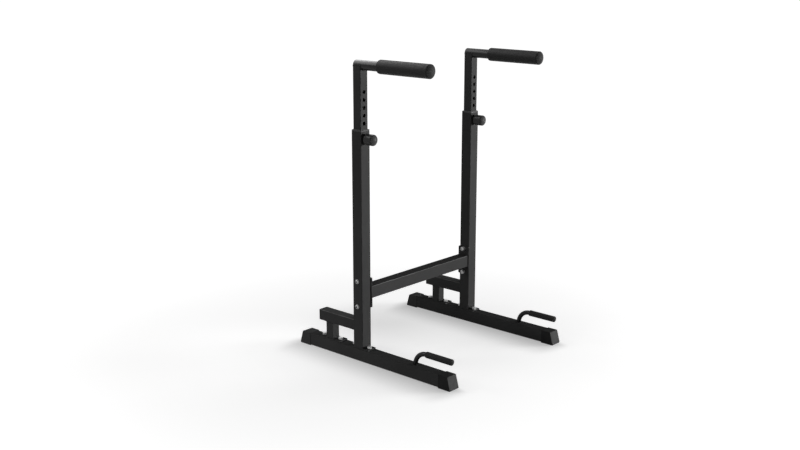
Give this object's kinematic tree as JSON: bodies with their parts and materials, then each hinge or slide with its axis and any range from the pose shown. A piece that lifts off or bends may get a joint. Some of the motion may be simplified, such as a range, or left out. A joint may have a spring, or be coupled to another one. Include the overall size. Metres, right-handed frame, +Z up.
{
  "type": "dip station",
  "caption": "Free-standing dip station of square tube with height-adjustable foam-grip handles locked by spring pins, a bolted crossbeam and low push-up grips.",
  "frame": {"origin": "on the floor, under the middle of the footprint", "axes": "+Z up, -Y towards the side that the user steps in from, +X to the right of someone who looks along +Y"},
  "size_m": [0.7376, 0.8178, 1.21],
  "materials": {
    "powder_coat": "satin black powder coat",
    "cap_plastic": "matte moulded black plastic",
    "knob_plastic": "semi-gloss moulded black plastic",
    "bush_plastic": "matte moulded dark grey plastic",
    "foam": "fine-celled black foam",
    "zinc": "bright zinc plating",
    "bare_steel": "ground steel"
  },
  "bodies": {
    "frame": {"crossbeam": "powder_coat", "left_floor_rail": "powder_coat", "left_front_foot_cap": "cap_plastic", "left_rear_foot_cap": "cap_plastic", "left_upright": "powder_coat", "left_upright_foot_plate": "powder_coat", "left_post_foot_plate": "powder_coat", "left_rear_brace": "powder_coat", "left_brace_end_plug": "cap_plastic", "left_brace_post": "powder_coat", "left_guide_bush": "bush_plastic", "left_pin_collar": "powder_coat", "left_pin_spring": "bare_steel", "left_push_up_rod": "powder_coat", "left_push_up_grip": "foam", "left_foot_bolt_1": "zinc", "left_foot_bolt_2": "zinc", "left_foot_bolt_3": "zinc", "left_foot_bolt_4": "zinc", "left_beam_end_plate": "powder_coat", "left_upper_beam_bolt": "zinc", "left_lower_beam_bolt": "zinc", "left_upper_beam_nut": "zinc", "left_lower_beam_nut": "zinc", "right_floor_rail": "powder_coat", "right_front_foot_cap": "cap_plastic", "right_rear_foot_cap": "cap_plastic", "right_upright": "powder_coat", "right_upright_foot_plate": "powder_coat", "right_post_foot_plate": "powder_coat", "right_rear_brace": "powder_coat", "right_brace_end_plug": "cap_plastic", "right_brace_post": "powder_coat", "right_guide_bush": "bush_plastic", "right_pin_collar": "powder_coat", "right_pin_spring": "bare_steel", "right_push_up_rod": "powder_coat", "right_push_up_grip": "foam", "right_foot_bolt_1": "zinc", "right_foot_bolt_2": "zinc", "right_foot_bolt_3": "zinc", "right_foot_bolt_4": "zinc", "right_beam_end_plate": "powder_coat", "right_upper_beam_bolt": "zinc", "right_lower_beam_bolt": "zinc", "right_upper_beam_nut": "zinc", "right_lower_beam_nut": "zinc"},
    "left_slide": {"left_slide_tube": "powder_coat", "left_handle_bar": "powder_coat", "left_handle_end_plug": "cap_plastic", "left_handle_grip": "foam"},
    "right_slide": {"right_slide_tube": "powder_coat", "right_handle_bar": "powder_coat", "right_handle_end_plug": "cap_plastic", "right_handle_grip": "foam"},
    "left_pin": {"left_lock_pin": "bare_steel", "left_pull_knob": "knob_plastic"},
    "right_pin": {"right_lock_pin": "bare_steel", "right_pull_knob": "knob_plastic"}
  },
  "joints": [
    {"name": "left_height", "type": "slide", "parent": "frame", "child": "left_slide", "axis": [0, 0, 1], "range_m": [-0.18, 0.03]},
    {"name": "right_height", "type": "slide", "parent": "frame", "child": "right_slide", "axis": [0, 0, 1], "range_m": [-0.18, 0.03]},
    {"name": "left_pin_pull", "type": "slide", "parent": "frame", "child": "left_pin", "axis": [0, -1, 0], "range_m": [-0.0065, 0.003], "deforming": ["left_pin_spring"]},
    {"name": "right_pin_pull", "type": "slide", "parent": "frame", "child": "right_pin", "axis": [0, -1, 0], "range_m": [-0.0065, 0.003], "deforming": ["right_pin_spring"]}
  ]
}
